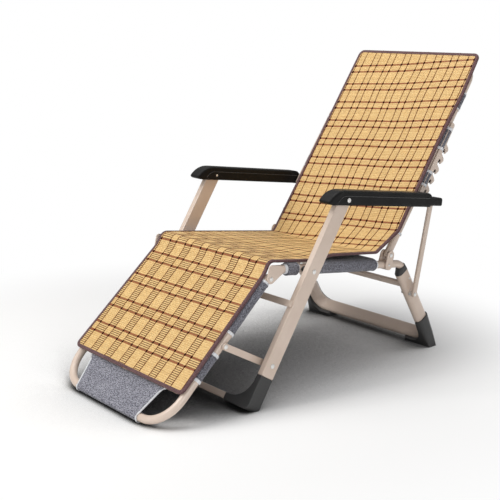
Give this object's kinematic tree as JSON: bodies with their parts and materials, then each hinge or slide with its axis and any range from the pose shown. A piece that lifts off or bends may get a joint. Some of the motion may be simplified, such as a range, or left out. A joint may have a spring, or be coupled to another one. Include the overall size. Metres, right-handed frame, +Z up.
{
  "type": "folding recliner",
  "caption": "Folding recliner of painted tube: fabric slings under a long slatted mat, hooked reclining back, footrest, folding legs and plastic armrests.",
  "frame": {"origin": "on the floor under the middle of the recliner's length and width", "axes": "+X towards the sitter's left, -Y towards the feet, +Z up"},
  "size_m": [0.6666, 1.3456, 0.9801],
  "materials": {
    "cream_paint": "satin cream-pink powder coat",
    "black_plastic": "moulded black plastic, fine grain",
    "zinc_steel": "zinc-plated rivets and bolts",
    "grey_fabric": "grey melange cloth",
    "slat_mat": "narrow polished slats laced together"
  },
  "bodies": {
    "seat_frame": {"seat_tube_l": "cream_paint", "seat_tube_r": "cream_paint", "knee_plate_l": "cream_paint", "knee_plate_r": "cream_paint", "back_bracket_l": "cream_paint", "back_bracket_r": "cream_paint", "rear_leg_hoop": "cream_paint", "leg_plug_l": "black_plastic", "leg_plug_r": "black_plastic", "rear_shoe_l": "black_plastic", "rear_shoe_r": "black_plastic", "rear_crossbar": "cream_paint", "sling_seat": "grey_fabric", "mat_seat": "slat_mat"},
    "front_legs": {"front_post_l": "cream_paint", "front_post_r": "cream_paint", "front_shoe_l": "black_plastic", "front_shoe_r": "black_plastic", "front_lower_bar": "cream_paint", "front_upper_bar": "cream_paint", "fold_bolt_l": "zinc_steel", "fold_bolt_r": "zinc_steel", "fold_spacer_l": "black_plastic", "fold_spacer_r": "black_plastic", "link_bolt_l": "zinc_steel", "link_bolt_r": "zinc_steel"},
    "armrests": {"armrest_l": "black_plastic", "armrest_r": "black_plastic", "armrest_bolt_l": "zinc_steel", "armrest_bolt_r": "zinc_steel"},
    "struts": {"strut_l": "cream_paint", "strut_r": "cream_paint", "strut_foot_bolt_l": "zinc_steel", "strut_foot_bolt_r": "zinc_steel", "strut_top_pin_l": "zinc_steel", "strut_top_pin_r": "zinc_steel"},
    "back": {"back_hoop": "cream_paint", "rack_plate_l": "cream_paint", "rack_plate_r": "cream_paint", "back_pin_l": "zinc_steel", "back_pin_r": "zinc_steel", "latch_rod": "zinc_steel", "sling_back": "grey_fabric", "mat_back": "slat_mat"},
    "footrest": {"footrest_hoop": "cream_paint", "knee_pin_l": "zinc_steel", "knee_pin_r": "zinc_steel", "sling_foot": "grey_fabric", "mat_foot": "slat_mat"},
    "links": {"link_l": "cream_paint", "link_r": "cream_paint", "link_rivet_l": "zinc_steel", "link_rivet_r": "zinc_steel"}
  },
  "joints": [
    {"name": "legs_fold", "type": "hinge", "parent": "seat_frame", "child": "front_legs", "pos_m": [0, -0.14455, 0.376], "axis": [1, 0, 0], "range_deg": [-10, 72]},
    {"name": "back_recline", "type": "hinge", "parent": "seat_frame", "child": "back", "pos_m": [0, 0.24415, 0.35465], "axis": [1, 0, 0], "range_deg": [-40, 98]},
    {"name": "strut_swing", "type": "hinge", "parent": "seat_frame", "child": "struts", "pos_m": [0, 0.34894, 0.20852], "axis": [1, 0, 0], "range_deg": [-9, 67]},
    {"name": "armrest_tilt", "type": "hinge", "parent": "front_legs", "child": "armrests", "pos_m": [0, -0.01687, 0.57412], "axis": [1, 0, 0], "range_deg": [-90, 12]},
    {"name": "footrest_swing", "type": "hinge", "parent": "seat_frame", "child": "footrest", "pos_m": [0, -0.27658, 0.36855], "axis": [1, 0, 0], "range_deg": [-13, 100]},
    {"name": "link_swing", "type": "hinge", "parent": "front_legs", "child": "links", "pos_m": [0, -0.30706, 0.12383], "axis": [1, 0, 0], "range_deg": [-69, 9]}
  ],
  "couplings": [
    {"joint": "strut_swing", "follows": "legs_fold", "ratio": 0.8465},
    {"joint": "armrest_tilt", "follows": "legs_fold", "ratio": -1.1488},
    {"joint": "footrest_swing", "follows": "legs_fold", "ratio": 1.2773},
    {"joint": "link_swing", "follows": "legs_fold", "ratio": -0.8821}
  ]
}
